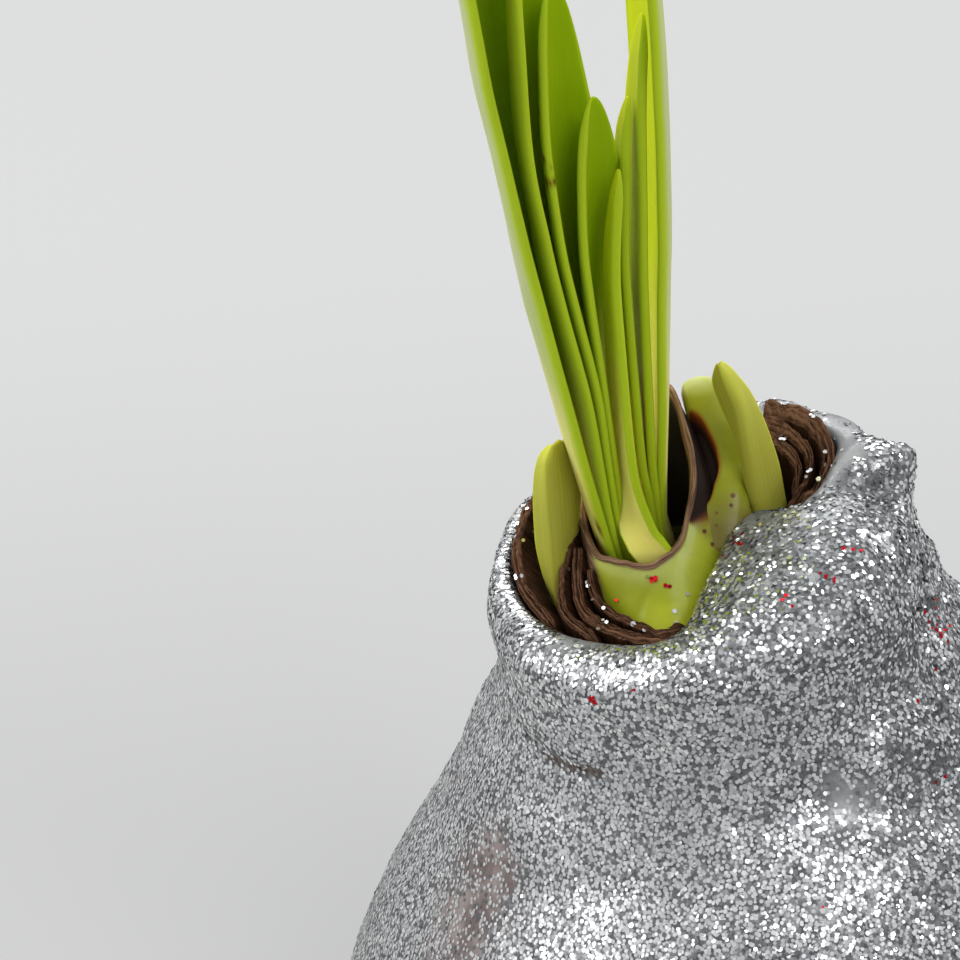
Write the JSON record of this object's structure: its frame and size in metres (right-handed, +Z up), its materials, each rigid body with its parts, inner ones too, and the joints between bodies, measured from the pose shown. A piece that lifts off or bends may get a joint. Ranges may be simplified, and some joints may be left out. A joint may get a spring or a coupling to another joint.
{
  "type": "amaryllis bulb",
  "caption": "Forced amaryllis bulb dipped in silver glitter wax, with papery skins, fleshy scales and nested strap leaves growing from its neck; it stands alone on a small flat spot",
  "frame": {"origin": "middle of the small flat spot the waxed bulb stands on", "axes": "+Z up along the bulb's lower body; the neck crooks towards -X and a little towards -Y, which is the pictured side"},
  "size_m": [0.094, 0.0942, 0.1819],
  "materials": {
    "wax_coat": "wax thick with silver glitter flakes",
    "bulb_body": "soft fleshy bulb",
    "tunic_left_outer": "dry papery bulb skin",
    "tunic_left_middle": "dry papery bulb skin",
    "tunic_front_outer": "dry papery bulb skin",
    "tunic_front_inner": "dry papery bulb skin",
    "tunic_right_outer": "dry papery bulb skin",
    "tunic_right_middle": "dry papery bulb skin",
    "tunic_right_inner": "dry papery bulb skin",
    "scale_front": "smooth fleshy green scale",
    "scale_right": "smooth fleshy green scale",
    "leaf_left_1": "smooth waxy leaf",
    "leaf_left_2": "smooth waxy leaf",
    "leaf_left_3": "smooth waxy leaf",
    "leaf_left_4": "smooth waxy leaf",
    "leaf_right_1": "smooth waxy leaf",
    "leaf_right_2": "smooth waxy leaf",
    "leaf_right_3": "smooth waxy leaf",
    "leaf_right_4": "smooth waxy leaf",
    "shoot_left": "smooth waxy leaf",
    "shoot_right": "smooth waxy leaf"
  },
  "bodies": {
    "root": {"wax_coat": "wax_coat", "bulb_body": "bulb_body", "tunic_left_outer": "tunic_left_outer", "tunic_left_middle": "tunic_left_middle", "tunic_front_outer": "tunic_front_outer", "tunic_front_inner": "tunic_front_inner", "tunic_right_outer": "tunic_right_outer", "tunic_right_middle": "tunic_right_middle", "tunic_right_inner": "tunic_right_inner", "scale_front": "scale_front", "scale_right": "scale_right", "leaf_left_1": "leaf_left_1", "leaf_left_2": "leaf_left_2", "leaf_left_3": "leaf_left_3", "leaf_left_4": "leaf_left_4", "leaf_right_1": "leaf_right_1", "leaf_right_2": "leaf_right_2", "leaf_right_3": "leaf_right_3", "leaf_right_4": "leaf_right_4", "shoot_left": "shoot_left", "shoot_right": "shoot_right"}
  },
  "joints": []
}
